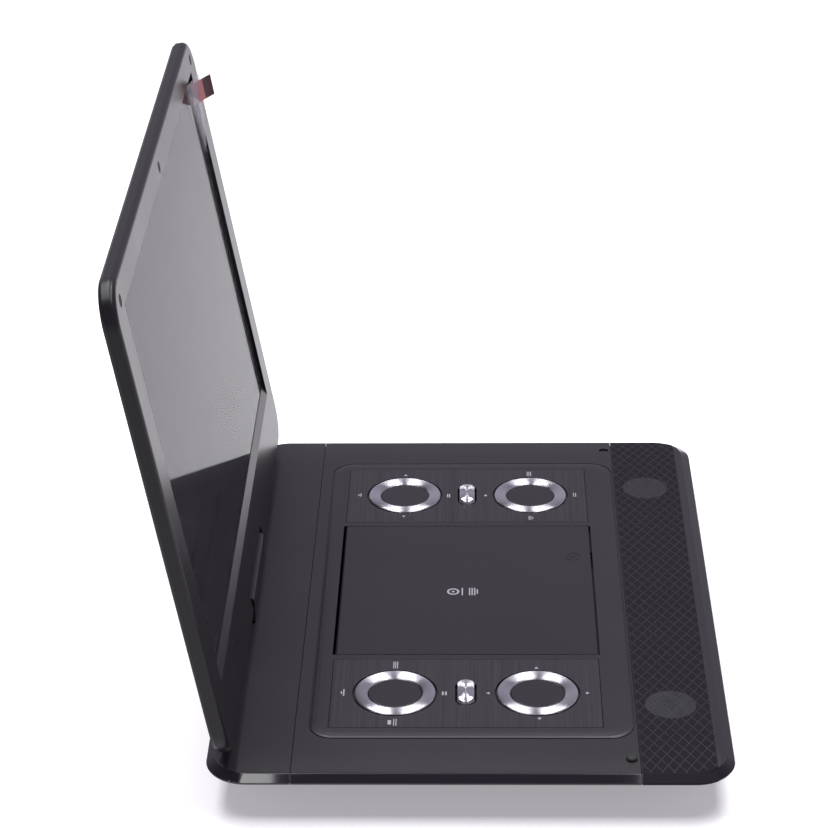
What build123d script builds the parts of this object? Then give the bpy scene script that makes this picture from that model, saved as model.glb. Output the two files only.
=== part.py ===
from build123d import *
import os
from math import cos, radians, sin

# Portable disc player with a swivelling screen, open on a table.
# Millimetres. +X is the user's right, +Y the hinge side, +Z up, and the feet stand on Z = 0.
# The origin is under the middle of the open player's box, so the base's own middle is at base_y.

# ---- driving dimensions ----
base_width = 368.0
base_length = 262.0
base_y = -18.4
base_corner = 20.0
seam_height = 22.4
rim_height = 23.5
edge_height = 26.1
top_height = 27.2
plateau_height = 28.0
# the raised field from its foot to its top: height, front, rear, half width, corner
plateau_steps = (
    (top_height, -82.2, 81.0, 149.0, 12),
    (top_height + 0.35, -80.4, 79.8, 147.8, 11.5),
    (top_height + 0.65, -76.2, 77.6, 145.2, 10),
    (plateau_height, -70.0, 74.6, 142.2, 7),
)
plateau_groove = 0.8
edge_inset = 4.7
crown_start = 150.0
bevel_start = 122.4
skin = 2.0
skin_underside = top_height - skin
foot_height = 3.0
floor_top = foot_height + skin

rear_split = 88.4
front_split = -84.0
split_gap = 0.12

door_width = 140.0
door_rear = 71.4
door_front = -66.8
door_side_gap = 0.6
door_end_gap = 1.2
door_thickness = 2.0
door_axis_y = 68.2
door_axis_z = 24.6

panel_inner = 75.4
panel_outer = 140.6
panel_thickness = 1.2
panel_gap = 0.3
panel_x = (panel_inner + panel_outer) / 2
door_middle = (door_rear + door_front) / 2

button_x = 108.1
ring_rows = {"rear": 38.7, "front": -34.5}
ring_radius = 20.9
ring_bore = 13.9
oval_y = 2.3
oval_length = 21.3
oval_width = 8.7
oval_top = 30.0
button_floor = 25.9
flange_height = 0.5

disc_y = 2.3
well_radius = 63.0
well_floor = 18.0

tilt_axis_y = 122.6
tilt_axis_z = 36.0
screen_lean = 10.0
lid_width = 368.0
lid_height = 256.0
lid_corner = 19.0
lid_thickness = 13.0
lid_seam = 6.3
lid_edge_radius = 3.2
lid_front_gap = 6.5
lid_edge_gap = 3.4
screen_half = 161.7
screen_low = 40.6
screen_high = 239.9
screen_recess = 2.2
notch_half = 39.0
notch_height = 12.4
turret_half = 36.6
turret_size = 14.0
turret_foot = 27.7
hinge_pin = 2.0
neck_radius = 3.9
plug_spots = [(t, lid_height - 11) for t in (-168, 0, 168)]
ir_spot = (-100, 20)
bracket_x = 52.0

speaker_x = 118.0
speaker_y = -102.0
port_wall = 164.0
port_height = 15.6
dc_y = 84.0
headphone_y = 70.0
av_y = 56.0
usb_y = 38.0
card_y = 18.0
power_y = 91.5

sides = {"left": -1, "right": 1}
screw_rows = ((139, -70), (139, 78), (95, 106), (60, -108))
screw_spots = [(side * x, y) for x, y in screw_rows for side in (1, -1)]
screw_radius = 1.5
foot_spots = [(side * 132, y) for y in (100, -100) for side in (1, -1)]
bumper_spots = [(side * 167.4, -79.8) for side in (1, -1)]
bumper_radius = 2.7
bumper_floor = edge_height - 1.6
post_spots = [(side * 35, disc_y + y) for y in (21, -73) for side in (1, -1)]
board_posts = [(x, y) for y in (-52, 94) for x in (-130, -52)]
board_height = 8.0
chassis_floor = 12.0
rod_x = 25.0
rod_z = 13.0
rod_radius = 1.5
lead_x = 33.0
lead_z = 8.6
hub_top = 18.6
latch_x = 35.0

os.makedirs("parts", exist_ok=True)


def level(height):
    """A flat plane over the base's own middle."""
    return Plane(origin=(0, base_y, height))


def lid_level(depth):
    """A plane parallel to the screen, the given depth behind the lid's front face."""
    return lid_plane.offset(-depth)


def facing_side(x, y, z):
    """An upright plane that faces +X, with its own X along +Y and its own Y upwards."""
    return Plane(origin=(x, base_y + y, z), x_dir=(0, 1, 0), z_dir=(1, 0, 0))


def save(piece, name):
    piece.part.label = name
    export_step(piece.part, f"parts/{name}.step")


lean = radians(screen_lean)
lid_front = (0, -cos(lean), sin(lean))
lid_up = Vector(0, sin(lean), cos(lean))
tilt_axis = Vector(0, base_y + tilt_axis_y, tilt_axis_z)
lid_foot = tilt_axis + Vector(*lid_front) * lid_front_gap - lid_up * lid_edge_gap
lid_plane = Plane(origin=lid_foot, x_dir=(1, 0, 0), z_dir=lid_front)
lid_side = Plane(origin=lid_foot, x_dir=lid_up, z_dir=(1, 0, 0))
across = Plane(origin=(0, base_y, 0), x_dir=(1, 0, 0), z_dir=(0, -1, 0))
along = facing_side(0, 0, 0)

# ---- base casing ----
half_width = base_width / 2
half_length = base_length / 2


def tub_section(height, left, right, rear, front, corner):
    """One rounded outline of the base's underside, which slopes more gently on the left."""
    with BuildSketch(level(height)) as section:
        with Locations(((right - left) / 2, (rear + front) / 2)):
            RectangleRounded(left + right, rear - front, corner)
    return section.sketch


with BuildPart() as base_bottom_cover:
    add(tub_section(foot_height, 140, 152, 123, -116, 20))
    add(tub_section(18, 172, 175.6, 129, -126.8, 20))
    add(tub_section(seam_height, 182.3, 182.3, 129.6, -129.6, base_corner))
    loft(ruled=True)
    add(tub_section(floor_top, 140, 152, 121.5, -114.6, 18))
    add(tub_section(18, 169.4, 173, 127, -124.4, 18))
    add(tub_section(seam_height, 179.4, 179.4, 127.4, -127.2, 18))
    loft(ruled=True, mode=Mode.SUBTRACT)
    # an upright wall for the sockets, under the right-hand rim
    with BuildSketch(level(foot_height - 1)):
        with Locations((port_wall + 15, 50)):
            Rectangle(30, 90)
    extrude(amount=seam_height - foot_height - 1, mode=Mode.SUBTRACT)
    with BuildSketch(level(10.6)):
        with Locations((port_wall - skin / 2, 50)):
            Rectangle(skin, 94)
    extrude(amount=seam_height - 10.7)
    with BuildSketch(level(seam_height - skin)):
        with Locations((port_wall + 7.8, 50)):
            Rectangle(17.4, 94)
    extrude(amount=skin - 0.2)
    # screw posts, the posts that carry the drive and the posts under the main board
    with BuildSketch(level(floor_top)):
        with Locations(*screw_spots):
            Circle(3.6)
    extrude(amount=10)
    with BuildSketch(level(floor_top)):
        with Locations(*post_spots):
            Circle(1.8)
    extrude(amount=11)
    with BuildSketch(level(floor_top)):
        with Locations(*board_posts):
            Circle(3)
    extrude(amount=3)
    with BuildSketch(level(foot_height)):
        with Locations(*screw_spots):
            Circle(3)
    extrude(amount=2.5, mode=Mode.SUBTRACT)
    with BuildSketch(level(foot_height)):
        with Locations(*screw_spots):
            Circle(screw_radius)
    extrude(amount=20, mode=Mode.SUBTRACT)
    # room for the swivel's neck in the rear wall
    with BuildSketch(level(19.2)):
        with Locations((0, tilt_axis_y)):
            Circle(5.4)
    extrude(amount=4, mode=Mode.SUBTRACT)
    # cooling slots
    with BuildSketch(level(foot_height)):
        with Locations((-92, 20)):
            with GridLocations(0, 6, 1, 8):
                SlotOverall(44, 2.4)
    extrude(amount=skin, mode=Mode.SUBTRACT)
    # openings for the sockets and the power switch
    with BuildSketch(facing_side(port_wall - skin - 1, 0, port_height)):
        with Locations((dc_y, 0)):
            Circle(3.6)
        with Locations((headphone_y, 0), (av_y, 0)):
            Circle(2.9)
        with Locations((usb_y, 0)):
            Rectangle(13.6, 6.2)
        with Locations((card_y, 0)):
            Rectangle(26.4, 3.4)
    extrude(amount=4, mode=Mode.SUBTRACT)
save(base_bottom_cover, "base_bottom_cover")

with BuildPart() as top_blank:
    with BuildSketch(level(seam_height)):
        RectangleRounded(base_width - 0.8, base_length - 0.8, base_corner)
    with BuildSketch(level(rim_height)):
        RectangleRounded(base_width, base_length, base_corner)
    with BuildSketch(level(edge_height)):
        RectangleRounded(base_width - 2 * edge_inset, base_length - 2 * edge_inset, base_corner - 3)
    loft(ruled=True)

with BuildPart() as crown:
    with BuildSketch(across):
        with BuildLine():
            Line((-crown_start, top_height), (crown_start, top_height))
            TangentArc((crown_start, top_height), (half_width - edge_inset, edge_height), tangent=(1, 0))
            Line((half_width - edge_inset, edge_height), (edge_inset - half_width, edge_height))
            TangentArc((-crown_start, top_height), (edge_inset - half_width, edge_height), tangent=(-1, 0))
        make_face()
    extrude(amount=half_length, both=True)
    with BuildSketch(level(edge_height)):
        RectangleRounded(base_width - 2 * edge_inset, base_length - 2 * edge_inset, base_corner - 3)
    extrude(amount=2, mode=Mode.INTERSECT)
    with BuildSketch(along):
        with BuildLine():
            Polyline(
                (edge_inset - half_length, edge_height),
                (-bevel_start, top_height),
                (bevel_start, top_height),
                (half_length - edge_inset, edge_height),
                close=True,
            )
        make_face()
    extrude(amount=half_width, both=True, mode=Mode.INTERSECT)


def cover_blank(front, rear):
    """The part of the top between two cross joints, hollowed to a skin."""
    with BuildPart() as blank:
        add(top_blank.part)
        add(crown.part)
        with BuildSketch(level(seam_height)):
            with Locations((0, (front + rear) / 2)):
                Rectangle(base_width + 2, rear - front)
        extrude(amount=8, mode=Mode.INTERSECT)
        with BuildSketch(level(seam_height)):
            RectangleRounded(base_width - 20, base_length - 8, base_corner - 8)
        extrude(amount=1.8, mode=Mode.SUBTRACT)
        with BuildSketch(level(seam_height)):
            Rectangle(2 * crown_start, base_length - 14)
        extrude(amount=skin_underside - seam_height, mode=Mode.SUBTRACT)
    return blank.part


def screw_post(spots):
    """The sections of the posts that reach down from the skin to meet the lower screw posts."""
    with BuildSketch(level(floor_top + 10)) as section:
        with Locations(*spots):
            Circle(3.6)
            Circle(screw_radius, mode=Mode.SUBTRACT)
    return section.sketch


post_reach = skin_underside - floor_top - 9.8
rear_screws = [spot for spot in screw_spots if spot[1] > rear_split]
middle_screws = [spot for spot in screw_spots if front_split < spot[1] < rear_split]
front_screws = [spot for spot in screw_spots if spot[1] < front_split]
rear_blank = cover_blank(rear_split + split_gap, half_length + 1)
middle_blank = cover_blank(front_split + split_gap, rear_split - split_gap)
front_blank = cover_blank(-half_length - 1, front_split - split_gap)

with BuildPart() as rear_top_cover:
    add(rear_blank)
    with BuildSketch(level(seam_height)):
        with Locations((0, tilt_axis_y)):
            Circle(5.4)
    extrude(amount=skin_underside - seam_height, mode=Mode.SUBTRACT)
    with BuildSketch(level(seam_height)):
        with Locations((0, tilt_axis_y)):
            Circle(4.4)
    extrude(amount=8, mode=Mode.SUBTRACT)
    extrude(screw_post(rear_screws), amount=post_reach)
save(rear_top_cover, "rear_top_cover")

with BuildPart() as middle_top_cover:
    add(middle_blank)
    # the raised field round the door and the two button panels
    for height, front, rear, half_x, corner in plateau_steps:
        with BuildSketch(level(height)):
            with Locations((0, (front + rear) / 2)):
                RectangleRounded(2 * half_x, rear - front, corner)
    loft(ruled=True)
    # a fine groove round its foot
    _, foot_front, foot_rear, foot_half, foot_corner = plateau_steps[0]
    with BuildSketch(level(top_height - 0.5)):
        with Locations((0, (foot_front + foot_rear) / 2)):
            RectangleRounded(
                2 * (foot_half + plateau_groove),
                foot_rear - foot_front + 2 * plateau_groove,
                foot_corner + plateau_groove,
            )
            RectangleRounded(2 * foot_half, foot_rear - foot_front, foot_corner, mode=Mode.SUBTRACT)
    extrude(amount=1, mode=Mode.SUBTRACT)
    # the doorway
    with BuildSketch(level(seam_height)):
        with Locations((0, door_middle)):
            Rectangle(door_width + 2 * door_side_gap, door_rear - door_front + 2 * door_end_gap)
    extrude(amount=8, mode=Mode.SUBTRACT)
    # the seats of the button panels, with room for the buttons
    for side in sides.values():
        with BuildSketch(level(plateau_height - panel_thickness)):
            with Locations((side * panel_x, door_middle)):
                Rectangle(panel_outer - panel_inner + 2 * panel_gap, door_rear - door_front + 2 * panel_gap)
        extrude(amount=panel_thickness + 1, mode=Mode.SUBTRACT)
        with BuildSketch(level(seam_height)):
            with Locations(*[(side * button_x, row) for row in ring_rows.values()]):
                Circle(ring_radius + 1.9)
            with Locations((side * button_x, oval_y)):
                SlotOverall(oval_length + 4.7, oval_width + 4.7)
        extrude(amount=8, mode=Mode.SUBTRACT)
        # the sockets of the door's hinge
        with BuildSketch(facing_side(side * (door_width / 2 + door_side_gap), 0, 0)):
            with Locations((door_axis_y, door_axis_z - 0.2)):
                Rectangle(6, 3.6)
        extrude(amount=side * 2.6)
        with BuildSketch(facing_side(side * door_width / 2, door_axis_y, door_axis_z)):
            Circle(1.06)
        extrude(amount=side * 2.6, mode=Mode.SUBTRACT)
    # seats of the two rubber stops
    with BuildSketch(level(bumper_floor)):
        with Locations(*bumper_spots):
            Circle(bumper_radius + 0.1)
    extrude(amount=4, mode=Mode.SUBTRACT)
    extrude(screw_post(middle_screws), amount=post_reach)
save(middle_top_cover, "middle_top_cover")

with BuildPart() as front_grille_cover:
    add(front_blank)
    with BuildSketch(level(seam_height)):
        for side in sides.values():
            with Locations((side * speaker_x, speaker_y)):
                Circle(0.8)
                for ring in range(1, 4):
                    with PolarLocations(3.4 * ring, 6 * ring):
                        Circle(0.8)
    extrude(amount=8, mode=Mode.SUBTRACT)
    extrude(screw_post(front_screws), amount=post_reach)
save(front_grille_cover, "front_grille_cover")

with BuildPart() as rubber_feet:
    with BuildSketch(level(0)):
        with Locations(*foot_spots):
            Circle(8)
    extrude(amount=foot_height, taper=6)
save(rubber_feet, "rubber_feet")

with BuildPart() as base_screws:
    with BuildSketch(level(foot_height + 0.6)):
        with Locations(*screw_spots):
            Circle(2.7)
    extrude(amount=1.9)
    with BuildSketch(level(foot_height + 0.6)):
        with Locations(*screw_spots):
            RegularPolygon(1.1, 6)
    extrude(amount=0.9, mode=Mode.SUBTRACT)
    with BuildSketch(level(foot_height + 2)):
        with Locations(*screw_spots):
            Circle(screw_radius - 0.1)
    extrude(amount=15)
save(base_screws, "base_screws")

with BuildPart() as base_bumpers:
    with BuildSketch(level(bumper_floor)):
        with Locations(bumper_spots[1]):
            Circle(bumper_radius)
    extrude(amount=4)
    fillet(base_bumpers.faces().sort_by(Axis.Z)[-1].edges(), 1.2)
    # the right-hand one has sunk into its seat
    with BuildSketch(level(bumper_floor)):
        with Locations(bumper_spots[0]):
            Circle(bumper_radius)
    extrude(amount=0.9)
save(base_bumpers, "base_bumpers")

# ---- button panels and buttons ----
for hand, side in sides.items():
    with BuildPart() as control_panel:
        with BuildSketch(level(plateau_height - panel_thickness)):
            with Locations((side * panel_x, door_middle)):
                Rectangle(panel_outer - panel_inner, door_rear - door_front)
            with Locations(*[(side * button_x, row) for row in ring_rows.values()]):
                Circle(ring_radius + 1.1, mode=Mode.SUBTRACT)
            with Locations((side * button_x, oval_y)):
                SlotOverall(oval_length + 2.4, oval_width + 2.4, mode=Mode.SUBTRACT)
        extrude(amount=panel_thickness)
    save(control_panel, f"{hand}_control_panel")

    for row, row_y in ring_rows.items():
        with BuildPart() as ring:
            with BuildSketch(level(button_floor + flange_height)):
                with Locations((side * button_x, row_y)):
                    Circle(ring_radius)
                    Circle(ring_bore, mode=Mode.SUBTRACT)
            extrude(amount=2.0)
            chamfer(ring.faces().sort_by(Axis.Z)[-1].edges().sort_by(SortBy.RADIUS)[-1], 0.7)
            chamfer(ring.faces().sort_by(Axis.Z)[-1].edges().sort_by(SortBy.RADIUS)[0], 1.2)
        save(ring, f"{hand}_{row}_ring")

        with BuildPart() as cap:
            with BuildSketch(level(button_floor)):
                with Locations((side * button_x, row_y)):
                    Circle(ring_radius + 1.5)
            extrude(amount=flange_height)
            with BuildSketch(level(button_floor + flange_height)):
                with Locations((side * button_x, row_y)):
                    Circle(ring_bore - 0.2)
            extrude(amount=1.5)
            fillet(cap.faces().sort_by(Axis.Z)[-1].edges(), 0.6)
        save(cap, f"{hand}_{row}_cap")

    with BuildPart() as oval_button:
        with BuildSketch(level(button_floor)):
            with Locations((side * button_x, oval_y)):
                SlotOverall(oval_length + 3.7, oval_width + 3.7)
        extrude(amount=flange_height)
        with BuildSketch(level(button_floor + flange_height)):
            with Locations((side * button_x, oval_y)):
                SlotOverall(oval_length, oval_width)
        extrude(amount=oval_top - button_floor - flange_height)
        chamfer(oval_button.faces().sort_by(Axis.Z)[-1].edges(), 0.5)
    save(oval_button, f"{hand}_oval_button")

with BuildPart() as key_boards:
    with BuildSketch(level(seam_height - 0.4)):
        with Locations((button_x, oval_y), (-button_x, oval_y)):
            RectangleRounded(60, 129, 2)
    extrude(amount=1.6)
save(key_boards, "key_boards")

with BuildPart() as key_membranes:
    with BuildSketch(level(seam_height + 1.2)):
        with Locations((button_x, oval_y), (-button_x, oval_y)):
            RectangleRounded(56, 124, 2)
    extrude(amount=0.6)
    with BuildSketch(level(seam_height + 1.8)):
        for side in sides.values():
            with Locations((side * button_x, oval_y)):
                Circle(2.6)
            for row_y in ring_rows.values():
                with Locations((side * button_x, row_y)):
                    with PolarLocations((ring_radius + ring_bore) / 2, 4):
                        Circle(2.6)
    extrude(amount=0.8)
save(key_membranes, "key_membranes")

# ---- disc door and latch ----
with BuildPart() as disc_door:
    with BuildSketch(level(plateau_height - door_thickness)):
        with Locations((0, door_middle)):
            Rectangle(door_width, door_rear - door_front)
    extrude(amount=door_thickness)
    fillet(disc_door.edges().filter_by(Axis.X).group_by(Axis.Z)[-1].sort_by(Axis.Y)[-1], 1.5)
    # stiffening ribs under the skin
    with BuildSketch(level(plateau_height - door_thickness - 0.8)):
        with Locations((0, -54), (0, 40)):
            Rectangle(100, 1.6)
    extrude(amount=0.9)
    # hinge ears with their pins
    for side in sides.values():
        with BuildSketch(facing_side(side * 62, 0, 0)):
            with Locations((door_axis_y, door_axis_z)):
                Circle(1.9)
            with Locations((door_axis_y, door_axis_z + 1)):
                Rectangle(3.8, 2)
        extrude(amount=side * 7)
        with BuildSketch(facing_side(side * 68, door_axis_y, door_axis_z)):
            Circle(1.0)
        extrude(amount=side * 4)
    # latch tongue
    with BuildSketch(level(21.4)):
        with Locations((latch_x, door_front + 3)):
            Rectangle(8, 1.6)
    extrude(amount=plateau_height - door_thickness - 21.3)
save(disc_door, "disc_door")

with BuildPart() as latch_housing:
    with BuildSketch(level(well_floor + 1.6)):
        with Locations((latch_x, door_front - 3.5)):
            Rectangle(18, 9)
    extrude(amount=4.2)
    with BuildSketch(level(well_floor + 2.8)):
        with Locations((latch_x, door_front - 1.5)):
            Rectangle(12.4, 9)
    extrude(amount=4, mode=Mode.SUBTRACT)
    with BuildSketch(level(well_floor + 1.6)):
        with Locations((latch_x, door_front - 7.2)):
            Rectangle(18, 2)
    extrude(amount=skin_underside - well_floor - 1.6)
save(latch_housing, "latch_housing")

with BuildPart() as latch_slider:
    with BuildSketch(level(well_floor + 2.9)):
        with Locations((latch_x, door_front - 0.6)):
            Rectangle(12, 5)
    extrude(amount=2.4)
    chamfer(latch_slider.edges().filter_by(Axis.X).group_by(Axis.Z)[-1].sort_by(Axis.Y)[-1], 1.0)
save(latch_slider, "latch_slider")

# ---- disc drive ----
with BuildPart() as disc_well:
    with BuildSketch(level(well_floor)):
        with Locations((0, disc_y)):
            Circle(well_radius + 1.6)
    extrude(amount=6)
    with BuildSketch(level(skin_underside - 1.4)):
        with Locations((0, disc_y)):
            Rectangle(154, 147)
    extrude(amount=1.4)
    with BuildSketch(level(well_floor + 1.5)):
        with Locations((0, disc_y)):
            Circle(well_radius)
    extrude(amount=10, mode=Mode.SUBTRACT)
    # window for the turntable and the pickup
    with BuildSketch(level(well_floor - 1)):
        with Locations((0, disc_y)):
            Circle(17)
        with Locations((0, disc_y - 31)):
            Rectangle(27, 62)
    extrude(amount=4, mode=Mode.SUBTRACT)
    # room for the door's rear edge and ears as it opens
    with BuildSketch(level(well_floor + 3.6)):
        with Locations((0, 69)):
            Rectangle(door_width + 8, 10.4)
    extrude(amount=6, mode=Mode.SUBTRACT)
    # room for the latch
    with BuildSketch(level(well_floor - 1)):
        with Locations((latch_x, door_front - 1)):
            Rectangle(18.8, 17)
    extrude(amount=10, mode=Mode.SUBTRACT)
save(disc_well, "disc_well")

with BuildPart() as traverse_chassis:
    with BuildSketch(level(chassis_floor)):
        with Locations((0, disc_y - 26)):
            RectangleRounded(80, 104, 3)
        with Locations((0, disc_y - 41.5)):
            Rectangle(60, 57, mode=Mode.SUBTRACT)
        with Locations(*post_spots):
            Circle(3.3, mode=Mode.SUBTRACT)
        with Locations((0, disc_y)):
            Circle(4.9, mode=Mode.SUBTRACT)
    extrude(amount=2)
    # blocks that hold the guide rods
    with BuildSketch(level(10.4)):
        with Locations(*[(x, disc_y + y) for x in (-rod_x, rod_x) for y in (-11, -72)]):
            Rectangle(8, 4)
    extrude(amount=5.2)
    with BuildSketch(across.offset(-disc_y + 8)):
        with Locations((rod_x, rod_z), (-rod_x, rod_z)):
            Circle(rod_radius + 0.05)
    extrude(amount=68, mode=Mode.SUBTRACT)
save(traverse_chassis, "traverse_chassis")

with BuildPart() as guide_rods:
    with BuildSketch(across.offset(-disc_y + 9.2)):
        with Locations((rod_x, rod_z), (-rod_x, rod_z)):
            Circle(rod_radius)
    extrude(amount=64.6)
save(guide_rods, "guide_rods")

grommet_steps = ((chassis_floor - 1.6, 1.6, 4.6), (chassis_floor, 2, 3.2), (chassis_floor + 2, 1.6, 4.6))
with BuildPart() as isolation_grommets:
    for start, height, radius in grommet_steps:
        with BuildSketch(level(start)):
            with Locations(*post_spots):
                Circle(radius)
                Circle(1.9, mode=Mode.SUBTRACT)
        extrude(amount=height)
save(isolation_grommets, "isolation_grommets")

with BuildPart() as spindle_motor:
    with BuildSketch(level(8)):
        with Locations((0, disc_y)):
            Circle(4.8)
    extrude(amount=6)
    with BuildSketch(level(14)):
        with Locations((0, disc_y)):
            Circle(10)
    extrude(amount=0.8)
    with BuildSketch(level(7)):
        with Locations((0, disc_y)):
            Circle(1.05)
    extrude(amount=9, mode=Mode.SUBTRACT)
save(spindle_motor, "spindle_motor")

# shaft, motor bell, turntable and centring boss: start, height and radius
hub_steps = ((8.4, 7, 1.0), (hub_top - 3.4, 3.4, 11.5), (hub_top, 1.8, 15.0), (hub_top + 1.8, 2.8, 7.4))
with BuildPart() as spindle_hub:
    for start, height, radius in hub_steps:
        with BuildSketch(level(start)):
            with Locations((0, disc_y)):
                Circle(radius)
        extrude(amount=height)
    chamfer(spindle_hub.faces().sort_by(Axis.Z)[-1].edges(), 1.2)
    # three balls' pockets that centre the disc
    with BuildSketch(level(20.9)):
        with Locations((0, disc_y)):
            with PolarLocations(7.4, 3):
                Circle(1)
    extrude(amount=1.2, mode=Mode.SUBTRACT)
save(spindle_hub, "spindle_hub")

with BuildPart() as sled_motor:
    with BuildSketch(across.offset(-disc_y - 12)):
        with Locations((lead_x, lead_z)):
            Circle(3.3)
            Circle(0.8, mode=Mode.SUBTRACT)
    extrude(amount=20)
save(sled_motor, "sled_motor")

with BuildPart() as lead_screw:
    with BuildSketch(across.offset(-disc_y + 8.4)):
        with Locations((lead_x, lead_z)):
            Circle(1.5)
    extrude(amount=59)
    with BuildSketch(across.offset(-disc_y - 10)):
        with Locations((lead_x, lead_z)):
            Circle(0.75)
    extrude(amount=19)
save(lead_screw, "lead_screw")

with BuildPart() as pickup_carriage:
    with BuildSketch(level(9)):
        with Locations((0, disc_y - 26)):
            Rectangle(40, 15)
    extrude(amount=7)
    with BuildSketch(across.offset(-disc_y + 18.5)):
        with Locations((rod_x, rod_z), (-rod_x, rod_z)):
            Circle(2 * rod_radius)
        with Locations((rod_x - 4, rod_z), (4 - rod_x, rod_z)):
            Rectangle(6, 4)
    extrude(amount=15)
    with BuildSketch(level(7.6)):
        with Locations((24, disc_y - 26)):
            Rectangle(14, 5)
    extrude(amount=2)
    with BuildSketch(across.offset(-disc_y + 18)):
        with Locations((rod_x, rod_z), (-rod_x, rod_z)):
            Circle(rod_radius + 0.05)
    extrude(amount=16, mode=Mode.SUBTRACT)
save(pickup_carriage, "pickup_carriage")

with BuildPart() as pickup_lens:
    with BuildSketch(level(16)):
        with Locations((0, disc_y - 26)):
            Circle(3)
    extrude(amount=1.6)
    fillet(pickup_lens.faces().sort_by(Axis.Z)[-1].edges(), 1.2)
save(pickup_lens, "pickup_lens")

# ---- electronics ----
with BuildPart() as main_board:
    with BuildSketch(level(board_height)):
        with Locations((-91, 21)):
            RectangleRounded(88, 158, 2)
    extrude(amount=1.6)
    with BuildSketch(level(board_height + 1.6)):
        with Locations((-92, 30), (-70, -20)):
            Rectangle(22, 22)
        with Locations((-116, 0), (-110, 62), (-68, 70)):
            Rectangle(12, 9)
    extrude(amount=1.8)
save(main_board, "main_board")

with BuildPart() as battery_pack:
    with BuildSketch(level(floor_top)):
        with Locations((93, 7)):
            RectangleRounded(86, 114, 4)
    extrude(amount=12)
save(battery_pack, "battery_pack")

for hand, side in sides.items():
    speaker_foot = (side * speaker_x, base_y + speaker_y, 0)
    with BuildPart() as speaker:
        with BuildSketch(Plane(origin=speaker_foot, x_dir=(1, 0, 0), z_dir=(0, -1, 0))):
            # magnet, basket and rim outside, the cone's dish on top
            with BuildLine():
                Polyline(
                    (0, 9), (9, 9), (9, 14), (12.5, 21), (17, 22.4), (17, skin_underside),
                    (14, skin_underside), (13, 22.6), (5, 18), (0, 18), close=True,
                )
            make_face()
        revolve(axis=Axis(speaker_foot, (0, 0, 1)))
    save(speaker, f"{hand}_speaker")

# ---- sockets on the right ----
round_jacks = (
    ("dc_jack", dc_y, 2.8, 10),
    ("headphone_jack", headphone_y, 1.8, 8),
    ("av_jack", av_y, 1.8, 8),
)

for name, y, bore, body in round_jacks:
    with BuildPart() as jack:
        with BuildSketch(facing_side(port_wall - 14, y, port_height)):
            RectangleRounded(body, 8.4, 0.8)
        extrude(amount=14 - skin - 0.1)
        with BuildSketch(facing_side(port_wall - skin - 0.1, y, port_height)):
            Circle(bore + 0.7)
        extrude(amount=skin)
        with BuildSketch(facing_side(port_wall - 12, y, port_height)):
            Circle(bore)
        extrude(amount=14, mode=Mode.SUBTRACT)
    if name == "dc_jack":
        with BuildPart(mode=Mode.PRIVATE) as centre_pin:
            with BuildSketch(facing_side(port_wall - 13, y, port_height)):
                Circle(1.0)
            extrude(amount=10)
        jack.part = jack.part + centre_pin.part
    save(jack, name)

with BuildPart() as usb_port:
    with BuildSketch(facing_side(port_wall - 14, usb_y, port_height)):
        Rectangle(13.2, 5.8)
    extrude(amount=14)
    with BuildSketch(facing_side(port_wall - 13, usb_y, port_height)):
        Rectangle(12.4, 5.0)
    extrude(amount=14, mode=Mode.SUBTRACT)
    with BuildSketch(facing_side(port_wall - 13.4, usb_y, port_height + 1.2)):
        Rectangle(11.2, 1.6)
    extrude(amount=12)
save(usb_port, "usb_port")

with BuildPart() as card_slot:
    with BuildSketch(facing_side(port_wall - 28, card_y, port_height)):
        Rectangle(26, 3)
    extrude(amount=28)
    with BuildSketch(facing_side(port_wall - 26, card_y, port_height)):
        Rectangle(24.4, 2.2)
    extrude(amount=28, mode=Mode.SUBTRACT)
save(card_slot, "card_slot")

with BuildPart() as power_switch_knob:
    with BuildSketch(facing_side(port_wall + 0.1, power_y, port_height)):
        RectangleRounded(5, 4, 0.6)
    extrude(amount=1.8)
save(power_switch_knob, "power_switch_knob")

# ---- swivel ----
with BuildPart() as swivel_bracket:
    with BuildSketch(level(21.6)):
        with Locations((0, 111)):
            RectangleRounded(80, 32, 2)
        with Locations((0, tilt_axis_y)):
            Circle(neck_radius + 0.05, mode=Mode.SUBTRACT)
    extrude(amount=1.9)
save(swivel_bracket, "swivel_bracket")

with BuildPart() as swivel_washer:
    with BuildSketch(level(23.6)):
        with Locations((0, tilt_axis_y)):
            Circle(5.1)
            Circle(neck_radius + 0.1, mode=Mode.SUBTRACT)
    extrude(amount=1.2)
save(swivel_washer, "swivel_washer")

with BuildPart() as swivel_turret:
    with BuildSketch(facing_side(-turret_half, tilt_axis_y, tilt_axis_z)):
        RectangleRounded(turret_size, turret_size, 3.2)
        with Locations((0, (turret_foot - tilt_axis_z) / 2)):
            Rectangle(turret_size, tilt_axis_z - turret_foot)
    extrude(amount=2 * turret_half)
    fillet(swivel_turret.faces().sort_by(Axis.X)[0].edges(), 0.6)
    fillet(swivel_turret.faces().sort_by(Axis.X)[-1].edges(), 0.6)
    with BuildSketch(level(19.8)):
        with Locations((0, tilt_axis_y)):
            Circle(neck_radius)
    extrude(amount=9)
    with BuildSketch(level(19)):
        with Locations((0, tilt_axis_y)):
            Circle(2.2)
    extrude(amount=14, mode=Mode.SUBTRACT)
    with BuildSketch(facing_side(-turret_half - 1, tilt_axis_y, tilt_axis_z)):
        Circle(hinge_pin + 0.05)
    extrude(amount=15, mode=Mode.SUBTRACT)
    with BuildSketch(facing_side(turret_half + 1, tilt_axis_y, tilt_axis_z)):
        Circle(hinge_pin + 0.05)
    extrude(amount=-15, mode=Mode.SUBTRACT)
save(swivel_turret, "swivel_turret")

with BuildPart() as swivel_retainer:
    with BuildSketch(level(19.9)):
        with Locations((0, tilt_axis_y)):
            Circle(4.9)
            Circle(neck_radius, mode=Mode.SUBTRACT)
    extrude(amount=1.5)
save(swivel_retainer, "swivel_retainer")

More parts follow.
